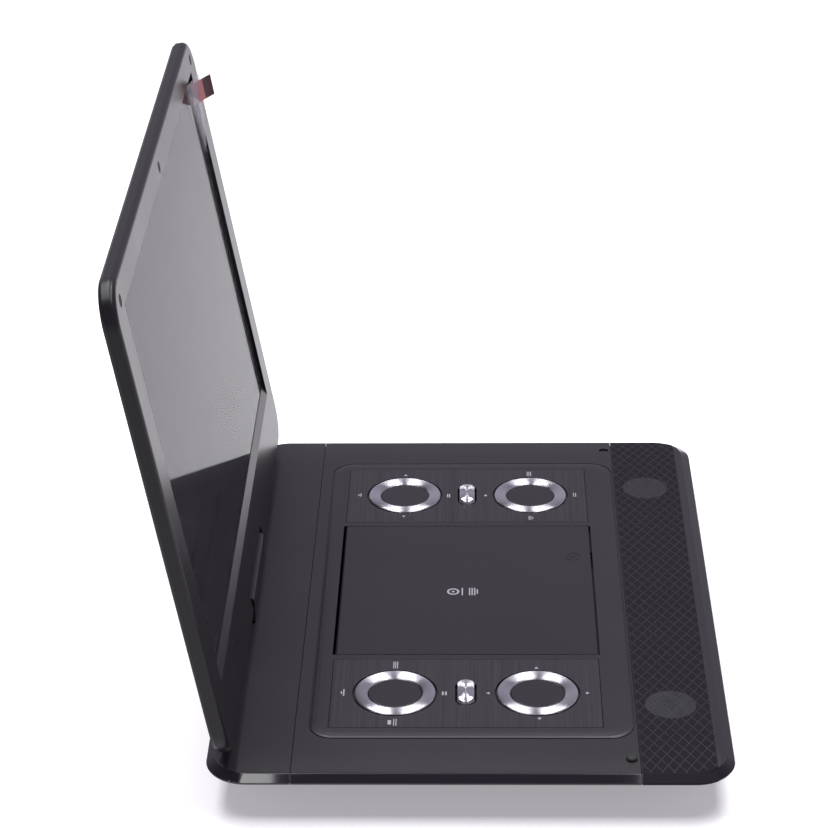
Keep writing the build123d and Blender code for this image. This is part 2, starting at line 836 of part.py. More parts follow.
# ---- screen half ----
lid_out = Axis(lid_foot, lid_front)


def lid_outline(depth, side_inset, foot_inset, corner):
    """A rounded outline of the lid at a depth behind its front face."""
    with BuildSketch(lid_level(depth)) as section:
        with Locations((0, (lid_height + foot_inset - side_inset) / 2)):
            RectangleRounded(lid_width - 2 * side_inset, lid_height - side_inset - foot_inset, corner)
    return section.sketch


# the notch round the swivel block, and the pockets of the two hinge brackets
with BuildPart() as hinge_room:
    with BuildSketch(lid_plane.offset(1)):
        with Locations((0, notch_height / 2 - 1)):
            Rectangle(2 * notch_half, notch_height + 2)
    extrude(amount=-lid_thickness - 2)
    for side in sides.values():
        with BuildSketch(lid_level(lid_front_gap - 1.2)):
            with Locations((side * bracket_x, 18)):
                Rectangle(13, 33)
        extrude(amount=-2.4)
        with BuildSketch(lid_side.offset(side * (notch_half - 1))):
            with Locations((lid_edge_gap, -lid_front_gap)):
                Circle(hinge_pin + 0.1)
        extrude(amount=side * 10)

with BuildPart() as lid_front_bezel:
    extrude(lid_outline(lid_seam, 0, 0, lid_corner), amount=lid_seam)
    fillet(lid_front_bezel.faces().sort_by(lid_out)[-1].edges(), lid_edge_radius)
    with BuildSketch(lid_plane):
        with Locations((0, (screen_low + screen_high) / 2)):
            Rectangle(2 * screen_half, screen_high - screen_low)
    extrude(amount=-lid_thickness, mode=Mode.SUBTRACT)
    with BuildSketch(lid_level(screen_recess)):
        with Locations((0, (screen_low + screen_high) / 2 - 2)):
            Rectangle(2 * screen_half + 16, screen_high - screen_low + 14)
    extrude(amount=-lid_thickness, mode=Mode.SUBTRACT)
    # the long slope between the chin and the screen
    with BuildSketch(lid_side):
        with BuildLine():
            Polyline(
                (screen_low + 1, 0.4), (screen_low - 6, 0.4), (screen_low - 6, 0),
                (screen_low, -2), (screen_low + 1, -2), close=True,
            )
        make_face()
    extrude(amount=screen_half, both=True, mode=Mode.SUBTRACT)
    with BuildSketch(lid_plane):
        with Locations(*plug_spots):
            Circle(3.1)
    extrude(amount=-1.2, mode=Mode.SUBTRACT)
    with BuildSketch(lid_plane):
        with Locations(*plug_spots):
            Circle(screw_radius)
    extrude(amount=-lid_thickness, mode=Mode.SUBTRACT)
    with BuildSketch(lid_plane):
        with Locations(ir_spot):
            Circle(1.6)
    extrude(amount=-2, mode=Mode.SUBTRACT)
    add(hinge_room.part, mode=Mode.SUBTRACT)
save(lid_front_bezel, "lid_front_bezel")

with BuildPart() as lid_back_cover:
    add(lid_outline(lid_seam + 0.05, 0.3, 0.3, lid_corner))
    add(lid_outline(8, 1.2, 1.2, lid_corner - 1))
    add(lid_outline(lid_thickness, 44, 8, 12))
    loft(ruled=True)
    add(lid_outline(lid_seam, 6, 36, lid_corner - 6))
    add(lid_outline(lid_thickness - 1.8, 44, 38, 10))
    loft(ruled=True, mode=Mode.SUBTRACT)
    with BuildSketch(lid_level(lid_seam + 0.05)):
        with Locations(*plug_spots):
            Circle(3.2)
    extrude(amount=-1.8)
    with BuildSketch(lid_level(lid_seam)):
        with Locations(*plug_spots):
            Circle(screw_radius)
    extrude(amount=-1.4, mode=Mode.SUBTRACT)
    add(hinge_room.part, mode=Mode.SUBTRACT)
save(lid_back_cover, "lid_back_cover")

with BuildPart() as hinge_brackets:
    for side in sides.values():
        with BuildSketch(lid_level(lid_front_gap - 1)):
            with Locations((side * bracket_x, 18)):
                RectangleRounded(12, 32, 1)
            with Locations((side * bracket_x, 14), (side * bracket_x, 28)):
                Circle(1.5, mode=Mode.SUBTRACT)
        extrude(amount=-2)
        with BuildSketch(lid_side.offset(side * 25)):
            with Locations((lid_edge_gap, -lid_front_gap)):
                Circle(hinge_pin)
        extrude(amount=side * 22)
save(hinge_brackets, "hinge_brackets")

with BuildPart() as lcd_panel:
    with BuildSketch(lid_level(screen_recess + 0.05)):
        with Locations((0, (screen_low + screen_high) / 2)):
            Rectangle(2 * screen_half + 8, screen_high - screen_low + 7)
    extrude(amount=-3.6)
save(lcd_panel, "lcd_panel")

with BuildPart() as lcd_shield:
    with BuildSketch(lid_level(screen_recess + 3.7)):
        with Locations((0, (screen_low + screen_high) / 2)):
            Rectangle(2 * screen_half - 6, screen_high - screen_low - 10)
    extrude(amount=-1.0)
save(lcd_shield, "lcd_shield")

with BuildPart() as lcd_driver_board:
    with BuildSketch(lid_level(screen_recess + 4.8)):
        with Locations((-20, 84)):
            RectangleRounded(110, 42, 2)
    extrude(amount=-1.4)
    with BuildSketch(lid_level(screen_recess + 6.2)):
        with Locations((-40, 84), (0, 88)):
            Rectangle(16, 16)
    extrude(amount=-1.2)
save(lcd_driver_board, "lcd_driver_board")

with BuildPart() as lid_plugs:
    with BuildSketch(lid_level(0.1)):
        with Locations(*plug_spots):
            Circle(3.0)
    extrude(amount=-0.8)
save(lid_plugs, "lid_plugs")

with BuildPart() as lid_screws:
    with BuildSketch(lid_level(1.3)):
        with Locations(*plug_spots):
            Circle(screw_radius - 0.1)
    extrude(amount=-6)
save(lid_screws, "lid_screws")

with BuildPart() as ir_window:
    with BuildSketch(lid_level(0.1)):
        with Locations(ir_spot):
            Circle(1.5)
    extrude(amount=-1.6)
save(ir_window, "ir_window")

with BuildPart() as screen_film:
    with BuildSketch(lid_level(screen_recess - 0.25)):
        with BuildLine():
            Polyline(
                (-screen_half + 1, screen_low + 1),
                (screen_half - 1, screen_low + 1),
                (screen_half - 1, screen_high - 40),
                (screen_half - 16, screen_high - 1),
                (-screen_half + 1, screen_high - 1),
                close=True,
            )
        make_face()
    extrude(amount=-0.2)
save(screen_film, "screen_film")

with BuildPart() as film_pull_tab:
    with BuildSketch(lid_level(screen_recess - 0.3)):
        with Locations((screen_half - 7, screen_high - 12)):
            Rectangle(10, 20)
    extrude(amount=15.5)
save(film_pull_tab, "film_pull_tab")
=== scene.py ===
from math import atan2, cos, hypot, pi, radians, sin, tau

import bmesh
import bpy
from mathutils import Matrix, Vector


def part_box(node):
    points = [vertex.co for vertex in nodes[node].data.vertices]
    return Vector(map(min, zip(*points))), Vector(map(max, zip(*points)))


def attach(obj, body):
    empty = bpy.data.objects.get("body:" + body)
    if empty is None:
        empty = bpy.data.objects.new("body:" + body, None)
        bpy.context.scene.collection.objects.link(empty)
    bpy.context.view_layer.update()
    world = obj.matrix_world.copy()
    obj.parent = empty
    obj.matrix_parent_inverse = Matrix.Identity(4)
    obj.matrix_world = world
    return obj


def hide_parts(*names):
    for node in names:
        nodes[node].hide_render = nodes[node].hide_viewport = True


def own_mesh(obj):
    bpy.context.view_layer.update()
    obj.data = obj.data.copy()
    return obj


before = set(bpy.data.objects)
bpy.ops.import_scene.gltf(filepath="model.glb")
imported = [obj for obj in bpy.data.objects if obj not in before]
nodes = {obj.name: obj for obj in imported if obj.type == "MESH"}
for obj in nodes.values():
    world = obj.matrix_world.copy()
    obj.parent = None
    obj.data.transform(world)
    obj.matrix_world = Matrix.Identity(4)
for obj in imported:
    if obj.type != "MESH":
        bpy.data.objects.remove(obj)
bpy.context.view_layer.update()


def linear(hexColour):
    parts = [int(hexColour[i:i + 2], 16) / 255 for i in (1, 3, 5)]
    return tuple(p / 12.92 if p <= 0.04045 else ((p + 0.055) / 1.055) ** 2.4 for p in parts) + (1.0,)


def addNode(tree, kind, settings=None, links=None):
    # settings name an input or an attribute, links give (node, output) for an input
    node = tree.nodes.new(kind)
    for key, value in (settings or {}).items():
        if isinstance(key, int) or key in node.inputs:
            node.inputs[key].default_value = value
        else:
            setattr(node, key, value)
    for key, (source, output) in (links or {}).items():
        tree.links.new(source.outputs[output], node.inputs[key])
    return node


def newMaterial(name, settings):
    material = bpy.data.materials.new(name)
    material.use_nodes = True
    tree = material.node_tree
    shader = tree.nodes["Principled BSDF"]
    for key, value in settings.items():
        shader.inputs[key].default_value = value
    return material, tree, shader


# camera, in metres, degrees and millimetres of lens
cameraView = {
    "azimuth": -88.35, "elevation": 26.22, "roll": -0.86, "distance": 1.75388, "lens": 118.37,
    "target": (0.27467, 0.0216, 0.0), "shift": (0.00527, -0.00214),
}


def addCamera():
    az, el = radians(cameraView["azimuth"]), radians(cameraView["elevation"])
    back = Vector((sin(az) * cos(el), -cos(az) * cos(el), sin(el)))
    data = bpy.data.cameras.new("camera")
    data.lens = cameraView["lens"]
    data.shift_x, data.shift_y = cameraView["shift"]
    data.clip_start, data.clip_end = 0.05, 30
    camera = bpy.data.objects.new("camera", data)
    camera.location = Vector(cameraView["target"]) + back * cameraView["distance"]
    turn = (-back).to_track_quat("-Z", "Y").to_matrix()
    camera.rotation_euler = (turn @ Matrix.Rotation(radians(cameraView["roll"]), 3, "Z")).to_euler()
    bpy.context.collection.objects.link(camera)
    bpy.context.scene.camera = camera


# studio: two long softboxes overhead with a dark gap between them, in metres and watts; the floor glows
# a little so that it stays white away from them
studio = {
    "horizon": "#b0abb7", "sky": "#47454d", "skyStarts": 0.42, "skyEnds": 0.8, "worldStrength": 1.0,
    "floorColour": "#e8e6ea", "floorSize": 40.0, "floorGlow": 0.4,
    "boxPower": 25.0, "boxLength": 1.6, "boxInner": 0.19, "boxOuter": 0.71, "boxHeight": 1.5,
    "boxForward": 0.2,
}


def addStudio():
    world = bpy.data.worlds.new("studio")
    world.use_nodes = True
    tree = world.node_tree
    direction = addNode(tree, "ShaderNodeTexCoord")
    parts = addNode(tree, "ShaderNodeSeparateXYZ", links={"Vector": (direction, "Generated")})
    height = addNode(tree, "ShaderNodeMapRange",
                     {"From Min": studio["skyStarts"], "From Max": studio["skyEnds"]},
                     {"Value": (parts, "Z")})
    sky = addNode(tree, "ShaderNodeMix",
                  {"data_type": "RGBA", 6: linear(studio["horizon"]), 7: linear(studio["sky"])},
                  {0: (height, "Result")})
    background = tree.nodes["Background"]
    background.inputs["Strength"].default_value = studio["worldStrength"]
    tree.links.new(sky.outputs[2], background.inputs["Color"])
    bpy.context.scene.world = world
    bpy.context.scene.view_settings.view_transform = "Standard"
    for side in (-1, 1):
        data = bpy.data.lights.new("softbox", "AREA")
        data.shape = "RECTANGLE"
        data.size = studio["boxLength"]
        data.size_y = studio["boxOuter"] - studio["boxInner"]
        data.energy = studio["boxPower"]
        box = bpy.data.objects.new("softbox", data)
        middle = (studio["boxOuter"] + studio["boxInner"]) / 2
        box.location = (studio["boxForward"], side * middle, studio["boxHeight"])
        bpy.context.collection.objects.link(box)
    bm = bmesh.new()
    bmesh.ops.create_grid(bm, x_segments=1, y_segments=1, size=studio["floorSize"] / 2)
    mesh = bpy.data.meshes.new("floor")
    bm.to_mesh(mesh)
    bm.free()
    floor = bpy.data.objects.new("floor", mesh)
    bpy.context.collection.objects.link(floor)
    floorColour = linear(studio["floorColour"])
    material, _, _ = newMaterial("pale matt floor", {
        "Base Color": floorColour, "Roughness": 0.9, "Specular IOR Level": 0.0,
        "Emission Color": floorColour, "Emission Strength": studio["floorGlow"]})
    mesh.materials.append(material)


addCamera()
addStudio()
print("camera and studio ready")

# places: the base's middle, and a frame on the lid's front face with x across, y up it and z outwards;
# both turn millimetres into metres
baseY = sum(corner[1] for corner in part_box("base_bottom_cover")) / 2
baseFrame = Matrix.Translation((0, baseY, 0)) @ Matrix.Scale(0.001, 4)
lidLean = radians(10)
lidFoot = Vector((0, 0.097209, 0.033780))  # foot of the lid's front face, in metres
lidFrame = (Matrix.Translation(lidFoot) @ Matrix(((1, 0, 0, 0), (0, sin(lidLean), -cos(lidLean), 0),
            (0, cos(lidLean), sin(lidLean), 0), (0, 0, 0, 1))) @ Matrix.Scale(0.001, 4))


def middleOf(node):
    # middle of a base node in millimetres from the base's own middle
    low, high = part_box(node)
    return Vector(((low[0] + high[0]) / 2, (low[1] + high[1]) / 2 - baseY, high[2])) * 1000


def addPiece(name, bm, material, body, place, replaces=(), smooth=40):
    bmesh.ops.remove_doubles(bm, verts=bm.verts, dist=0.001)  # still in millimetres here
    bm.transform(place)
    bmesh.ops.recalc_face_normals(bm, faces=bm.faces)
    mesh = bpy.data.meshes.new(name)
    bm.to_mesh(mesh)
    bm.free()
    mesh.materials.append(material)
    mesh.shade_smooth()
    mesh.set_sharp_from_angle(angle=radians(smooth))
    piece = bpy.data.objects.new(name, mesh)
    bpy.context.collection.objects.link(piece)
    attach(piece, body)
    if replaces:
        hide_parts(*replaces)
    return piece


# moulded charcoal ABS: a satin skin with a fine spark-eroded grain gives a soft even sheen, and the
# polished rim under the top edge gives a hard bright line; grain and cloud in millimetres, and the edge's
# radius and the rim's blend in metres
casing = {"colour": "#1b181e", "worn": "#1f1c23", "roughness": 0.36, "glossSpread": 0.04,
          "rimRoughness": 0.04, "specular": 0.36, "ior": 1.5, "grain": 0.45, "grainDepth": 0.010,
          "cloud": 60, "edge": 0.00045, "rimBlend": (-0.0002, 0.0001)}


def objectPoint(tree, scale=1.0, squash=(1, 1, 1)):
    # object coordinates turned into millimetres over a pattern's size
    place = addNode(tree, "ShaderNodeTexCoord")
    return addNode(tree, "ShaderNodeMapping", {"Scale": tuple(1000 / scale * s for s in squash)},
                   {"Vector": (place, "Object")})


def mouldedPlastic(name, settings, polishedBelow=None, mattStrip=None):
    material, tree, shader = newMaterial(name, {
        "Specular IOR Level": settings["specular"], "IOR": settings["ior"]})
    grain = addNode(tree, "ShaderNodeTexNoise", {"Scale": 1.0, "Detail": 2.0},
                    {"Vector": (objectPoint(tree, settings["grain"]), "Vector")})
    cloud = addNode(tree, "ShaderNodeTexNoise", {"Scale": 1.0, "Detail": 3.0},
                    {"Vector": (objectPoint(tree, settings["cloud"], (1, 0.5, 1)), "Vector")})
    colour = addNode(tree, "ShaderNodeMix",
                     {"data_type": "RGBA", 6: linear(settings["colour"]), 7: linear(settings["worn"])},
                     {0: (cloud, "Fac")})
    tree.links.new(colour.outputs[2], shader.inputs["Base Color"])
    gloss = addNode(tree, "ShaderNodeMapRange",
                    {"To Min": settings["roughness"] - settings["glossSpread"],
                     "To Max": settings["roughness"] + settings["glossSpread"]}, {"Value": (cloud, "Fac")})
    rounded = addNode(tree, "ShaderNodeBevel", {"Radius": settings["edge"], "samples": 4})
    bump = addNode(tree, "ShaderNodeBump", {"Strength": 1.0, "Distance": settings["grainDepth"] / 1000},
                   {"Height": (grain, "Fac"), "Normal": (rounded, "Normal")})
    if polishedBelow:
        # the grain and the satin stop at the rim's top edge, with a polished facet under it
        point = addNode(tree, "ShaderNodeTexCoord")
        parts = addNode(tree, "ShaderNodeSeparateXYZ", links={"Vector": (point, "Object")})
        blendLow, blendHigh = settings["rimBlend"]
        above = addNode(tree, "ShaderNodeMapRange",
                        {"From Min": polishedBelow + blendLow, "From Max": polishedBelow + blendHigh},
                        {"Value": (parts, "Z")})
        gloss = addNode(tree, "ShaderNodeMix", {2: settings["rimRoughness"]},
                        {0: (above, "Result"), 3: (gloss, "Result")})
        if mattStrip:
            front, rear = mattStrip
            inside = addNode(tree, "ShaderNodeMath",
                             {"operation": "COMPARE", 1: (front + rear) / 2, 2: (rear - front) / 2},
                             {0: (parts, "Y")})
            gloss = addNode(tree, "ShaderNodeMix", {3: settings["mattRoughness"]},
                            {0: (inside, "Value"), 2: (gloss, 0)})
            shine = addNode(tree, "ShaderNodeMapRange",
                            {"To Min": settings["specular"], "To Max": settings["mattSpecular"]},
                            {"Value": (inside, "Value")})
            tree.links.new(shine.outputs["Result"], shader.inputs["Specular IOR Level"])
        tree.links.new(gloss.outputs[0], shader.inputs["Roughness"])
        tree.links.new(above.outputs[0], bump.inputs["Strength"])
    else:
        tree.links.new(gloss.outputs["Result"], shader.inputs["Roughness"])
    tree.links.new(bump.outputs["Normal"], shader.inputs["Normal"])
    return material


rimDrop = 0.0011  # how far the polished rim starts under the top face, in metres
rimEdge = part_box("rear_top_cover")[1][2] - rimDrop
baseFinish = mouldedPlastic("moulded charcoal ABS", casing, rimEdge)
# the grille's strip is etched matt, so that it looks darker than the casing round it
grilleReach = {"front": -121.8, "rear": -84.4}  # millimetres from the base's middle
grilleFinish = mouldedPlastic(
    "moulded charcoal ABS with a matt grille", {**casing, "mattRoughness": 0.62, "mattSpecular": 0.04},
    rimEdge, [baseY + y / 1000 for y in grilleReach.values()])
# the lid is a shade darker and smoother, with weak soft reflections along its frame
lidFinish = mouldedPlastic("semi-gloss moulded ABS", {
    **casing, "colour": "#161418", "worn": "#1a181c", "roughness": 0.3, "specular": 0.2,
    "grainDepth": 0.003})
# the door and the button caps have a finer grain and a slightly tighter sheen
doorFinish = mouldedPlastic("finely moulded charcoal ABS", {
    **casing, "roughness": 0.32, "grainDepth": 0.006})
# the disc well and what is in it stay near black and dull, so that little light comes back out
darkPlastic = mouldedPlastic("moulded black ABS", {
    **casing, "colour": "#111013", "worn": "#151417", "roughness": 0.45})

# control panels: ABS sheet with a hairline texture across the player, which gives fine paler streaks;
# the real lines are finer, and are drawn half a millimetre apart so that they show
hairline = {"colour": "#151318", "light": "#2a272e", "specular": 0.42, "roughness": 0.34, "smoother": 0.03,
            "rougher": 0.04, "pitch": 0.5, "length": 120.0, "depth": 0.004}


def hairlinePlastic():
    material, tree, shader = newMaterial("hairline ABS panel", {"Specular IOR Level": hairline["specular"]})
    lines = addNode(tree, "ShaderNodeTexNoise", {"Scale": 1.0, "Detail": 3.0, "Roughness": 0.6},
                    {"Vector": (objectPoint(tree, hairline["pitch"],
                                            (hairline["pitch"] / hairline["length"], 1, 0.1)), "Vector")})
    tone = addNode(tree, "ShaderNodeMapRange", {"From Min": 0.3, "From Max": 0.7},
                   {"Value": (lines, "Fac")})
    colour = addNode(tree, "ShaderNodeMix",
                     {"data_type": "RGBA", 6: linear(hairline["colour"]), 7: linear(hairline["light"])},
                     {0: (tone, "Result")})
    tree.links.new(colour.outputs[2], shader.inputs["Base Color"])
    gloss = addNode(tree, "ShaderNodeMapRange",
                    {"To Min": hairline["roughness"] - hairline["smoother"],
                     "To Max": hairline["roughness"] + hairline["rougher"]}, {"Value": (lines, "Fac")})
    tree.links.new(gloss.outputs["Result"], shader.inputs["Roughness"])
    bump = addNode(tree, "ShaderNodeBump", {"Distance": hairline["depth"] / 1000},
                   {"Height": (lines, "Fac")})
    tree.links.new(bump.outputs["Normal"], shader.inputs["Normal"])
    return material


panelFinish = hairlinePlastic()

# screen glass: its coating keeps reflections weak from the front and clear at a glancing angle, and the
# film over it gives them a faint orange peel
glass = {"colour": "#08070a", "roughness": 0.03, "peel": 1.1, "peelDepth": 0.003, "ior": 1.09}


def screenGlass():
    material, tree, shader = newMaterial("coated display glass", {
        "Base Color": linear(glass["colour"]), "Roughness": glass["roughness"], "IOR": glass["ior"]})
    peel = addNode(tree, "ShaderNodeTexNoise", {"Scale": 1.0, "Detail": 1.0},
                   {"Vector": (objectPoint(tree, glass["peel"]), "Vector")})
    bump = addNode(tree, "ShaderNodeBump", {"Distance": glass["peelDepth"] / 1000},
                   {"Height": (peel, "Fac")})
    tree.links.new(bump.outputs["Normal"], shader.inputs["Normal"])
    return material


glassFinish = screenGlass()

# spun aluminium: a lathe leaves circular grooves, so each lamp spreads into a fan across them; the real
# grooves are finer, and are drawn as wide as they need to show
spun = {"colour": "#dad6e0", "roughness": 0.31, "smoother": 0.06, "rougher": 0.08, "anisotropic": 1.0,
        "groove": 0.45, "grooveRepeat": 3.0, "grooveDepth": 0.004}


def spunMetal(name, settings):
    material, tree, shader = newMaterial(name, {
        "Base Color": linear(settings["colour"]), "Metallic": 1.0, "Roughness": settings["roughness"],
        "Anisotropic": settings["anisotropic"]})
    spin = addNode(tree, "ShaderNodeTangent", {"direction_type": "UV_MAP", "uv_map": "spin"})
    tree.links.new(spin.outputs["Tangent"], shader.inputs["Tangent"])
    place = addNode(tree, "ShaderNodeUVMap", {"uv_map": "spin"})
    stretch = addNode(tree, "ShaderNodeMapping",
                      {"Scale": (1 / settings["groove"], settings["grooveRepeat"], 1)},
                      {"Vector": (place, "UV")})
    grooves = addNode(tree, "ShaderNodeTexNoise", {"Scale": 1.0, "Detail": 2.0, "noise_dimensions": "2D"},
                      {"Vector": (stretch, "Vector")})
    bump = addNode(tree, "ShaderNodeBump", {"Distance": settings["grooveDepth"] / 1000},
                   {"Height": (grooves, "Fac")})
    tree.links.new(bump.outputs["Normal"], shader.inputs["Normal"])
    gloss = addNode(tree, "ShaderNodeMapRange",
                    {"To Min": settings["roughness"] - settings["smoother"],
                     "To Max": settings["roughness"] + settings["rougher"]}, {"Value": (grooves, "Fac")})
    tree.links.new(gloss.outputs["Result"], shader.inputs["Roughness"])
    return material


ringFinish = spunMetal("lathe-spun aluminium", spun)

# simple finishes of the pieces inside and underneath
plainFinishes = {
    # rolled sheet with a bright plating: a cool, fairly sharp shine
    "zinc-plated steel": {"Base Color": linear("#a9a9ab"), "Metallic": 1.0, "Roughness": 0.34},
    # lacquered laminate: deep green with a soft gloss
    "green FR4 circuit board": {"Base Color": linear("#1f4a34"), "Roughness": 0.45},
    # pressed rubber: dull black, nearly without a highlight
    "moulded black rubber": {"Base Color": linear("#121214"), "Roughness": 0.75},
    # drawn and turned metal left as made: a pale, blurred shine
    "bare aluminium": {"Base Color": linear("#b6b8ba"), "Metallic": 1.0, "Roughness": 0.42},
    # plated and polished rods: a warm, crisp highlight
    "nickel-plated brass": {"Base Color": linear("#b9b6b0"), "Metallic": 1.0, "Roughness": 0.22},
    # ground and coated lens: a blue cast with a hard highlight
    "coated lens glass": {"Base Color": linear("#232046"), "Roughness": 0.04},
    # pressed paper pulp: dry and even
    "black paper cone": {"Base Color": linear("#17171a"), "Roughness": 0.85},
    # moulded acetal: milky white with a waxy sheen
    "white acetal": {"Base Color": linear("#d8d6d0"), "Roughness": 0.4},
}
# size and depth in millimetres, the rest as shares of the roughness
unevenness = {"size": 4, "smoother": 0.8, "rougher": 1.2, "depth": 0.01}


def plainMaterial(name, settings):
    # each gets a little uneven gloss, so that it doesn't look like one flat colour
    material, tree, shader = newMaterial(name, settings)
    cloud = addNode(tree, "ShaderNodeTexNoise", {"Scale": 1.0, "Detail": 3.0},
                    {"Vector": (objectPoint(tree, unevenness["size"]), "Vector")})
    gloss = addNode(tree, "ShaderNodeMapRange",
                    {"To Min": settings["Roughness"] * unevenness["smoother"],
                     "To Max": settings["Roughness"] * unevenness["rougher"]}, {"Value": (cloud, "Fac")})
    tree.links.new(gloss.outputs["Result"], shader.inputs["Roughness"])
    bump = addNode(tree, "ShaderNodeBump", {"Distance": unevenness["depth"] / 1000},
                   {"Height": (cloud, "Fac")})
    tree.links.new(bump.outputs["Normal"], shader.inputs["Normal"])
    return material


plain = {name: plainMaterial(name, settings) for name, settings in plainFinishes.items()}

hands = ("left", "right")
pads = [(hand, row) for hand in hands for row in ("rear", "front")]
nodeFinishes = {
    baseFinish: ["base_bottom_cover", "rear_top_cover", "middle_top_cover", "power_switch_knob"],
    grilleFinish: ["front_grille_cover"],
    lidFinish: ["lid_front_bezel", "lid_back_cover", "swivel_turret"],
    doorFinish: ["disc_door"] + [f"{hand}_{row}_cap" for hand, row in pads],
    panelFinish: ["left_control_panel", "right_control_panel"],
    glassFinish: ["lcd_panel", "ir_window"],
    darkPlastic: ["disc_well", "latch_housing", "latch_slider", "dc_jack", "headphone_jack", "av_jack",
                  "pickup_carriage", "battery_pack"],
    plain["zinc-plated steel"]: ["traverse_chassis", "swivel_bracket", "swivel_washer", "swivel_retainer",
                                 "hinge_brackets", "usb_port", "card_slot", "base_screws", "lid_screws"],
    plain["green FR4 circuit board"]: ["key_boards", "main_board", "lcd_driver_board"],
    plain["moulded black rubber"]: ["key_membranes", "rubber_feet", "base_bumpers", "lid_plugs",
                                    "isolation_grommets"],
    plain["bare aluminium"]: ["lcd_shield", "spindle_motor", "sled_motor"],
    plain["nickel-plated brass"]: ["guide_rods", "lead_screw"],
    plain["coated lens glass"]: ["pickup_lens"],
    plain["black paper cone"]: ["left_speaker", "right_speaker"],
    plain["white acetal"]: ["spindle_hub"],
}
for finish, names in nodeFinishes.items():
    for name in names:
        nodes[name].data.materials.clear()
        nodes[name].data.materials.append(finish)
print("finishes ready")


def spinCoordinates(bm, centre):
    # u runs outwards and v round the centre, so that light stretches across the grooves
    layer = bm.loops.layers.uv.new("spin")
    for face in bm.faces:
        middle = face.calc_center_median() - centre
        around = atan2(middle.y, middle.x)
        for loop in face.loops:
            spot = loop.vert.co - centre
            out = hypot(spot.x, spot.y)
            turn = atan2(spot.y, spot.x) if out > 0.01 else around
            turn = around + (turn - around + pi) % tau - pi
            loop[layer].uv = (out, turn / tau)


# button rings, in millimetres: radius and height of the turned section above the flange
ring = {"section": ((13.95, 0.5), (13.95, 1.6), (14.5, 2.35), (15.2, 2.62), (19.9, 2.78), (20.5, 2.55),
                    (20.85, 2.0), (20.85, 0.5)), "steps": 144}


def addRing(hand, row):
    node = f"{hand}_{row}_ring"
    centre = middleOf(node)
    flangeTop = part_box(f"{hand}_{row}_cap")[0][2] * 1000
    bm = bmesh.new()
    points = [bm.verts.new((centre.x + r, centre.y, flangeTop + h)) for r, h in ring["section"]]
    edges = [bm.edges.new((a, b)) for a, b in zip(points, points[1:] + points[:1])]
    bmesh.ops.spin(bm, geom=points + edges, cent=centre, axis=(0, 0, 1), angle=tau, steps=ring["steps"],
                   use_merge=True)
    bmesh.ops.remove_doubles(bm, verts=bm.verts, dist=0.001)
    spinCoordinates(bm, centre)
    addPiece(f"{hand}_{row}_spun_ring", bm, ringFinish, f"{hand}_{row}_pad", baseFrame,
             (node,), 25)


for hand, row in pads:
    addRing(hand, row)
print("rings ready")

# oval buttons, in millimetres
oval = {"length": 21.3, "width": 8.7, "top": 30.0, "dome": 0.35, "domeStep": 1.0, "edge": 0.5,
        "flange": 0.5, "steps": 64}


def addOval(hand):
    node = f"{hand}_oval_button"
    centre = middleOf(node)
    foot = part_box(node)[0][2] * 1000 + oval["flange"]
    reach = (oval["length"] - oval["width"]) / 2
    bm = bmesh.new()
    bmesh.ops.create_circle(bm, cap_ends=True, segments=oval["steps"], radius=oval["width"] / 2)
    for vert in bm.verts:
        vert.co.x += reach if vert.co.x > 0 else -reach
        vert.co += Vector((centre.x, centre.y, foot))
    top = bmesh.ops.extrude_face_region(bm, geom=bm.faces[:])["geom"]
    bmesh.ops.translate(bm, verts=[v for v in top if isinstance(v, bmesh.types.BMVert)],
                        vec=(0, 0, oval["top"] - oval["dome"] - foot))
    face = next(f for f in top if isinstance(f, bmesh.types.BMFace))
    bmesh.ops.bevel(bm, geom=list(face.edges), offset=oval["edge"], segments=3, profile=0.5,
                    affect="EDGES", material=-1)
    face = max(bm.faces, key=lambda f: (round(f.calc_center_median().z, 3), f.calc_area()))
    for step in range(3):
        bmesh.ops.inset_individual(bm, faces=[face], thickness=oval["domeStep"], depth=oval["dome"] / 4)
    bmesh.ops.poke(bm, faces=[face])
    spinCoordinates(bm, centre)
    addPiece(f"{hand}_oval_key", bm, ringFinish, f"{hand}_oval", baseFrame, (node,), 30)


for hand in hands:
    addOval(hand)
print("oval buttons ready")

# front grille: crossing diagonal ribs, in millimetres; the crown drops away past its start at each side
grille = {**grilleReach, "cell": (9.6, 5.8), "rib": 0.32, "height": 0.10, "halfWidth": 178.5,
          "corner": (162.3, -109.3), "cornerRadius": 15.4, "segments": 14,
          # the ribs' two colours, the second mixed in at random, are painted paler than the strip: a
          # painted highlight
          "colour": "#2a282f", "worn": "#2e2c33", "roughness": 0.5}
crown = {"start": 150.0, "end": 179.3, "drop": 1.1}
sunk = 0.04  # how far ribs and wires reach into the face under them
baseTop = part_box("front_grille_cover")[1][2] * 1000


def crownDrop(x):
    past = max(0, abs(x) - crown["start"]) / (crown["end"] - crown["start"])
    return crown["drop"] * past ** 2


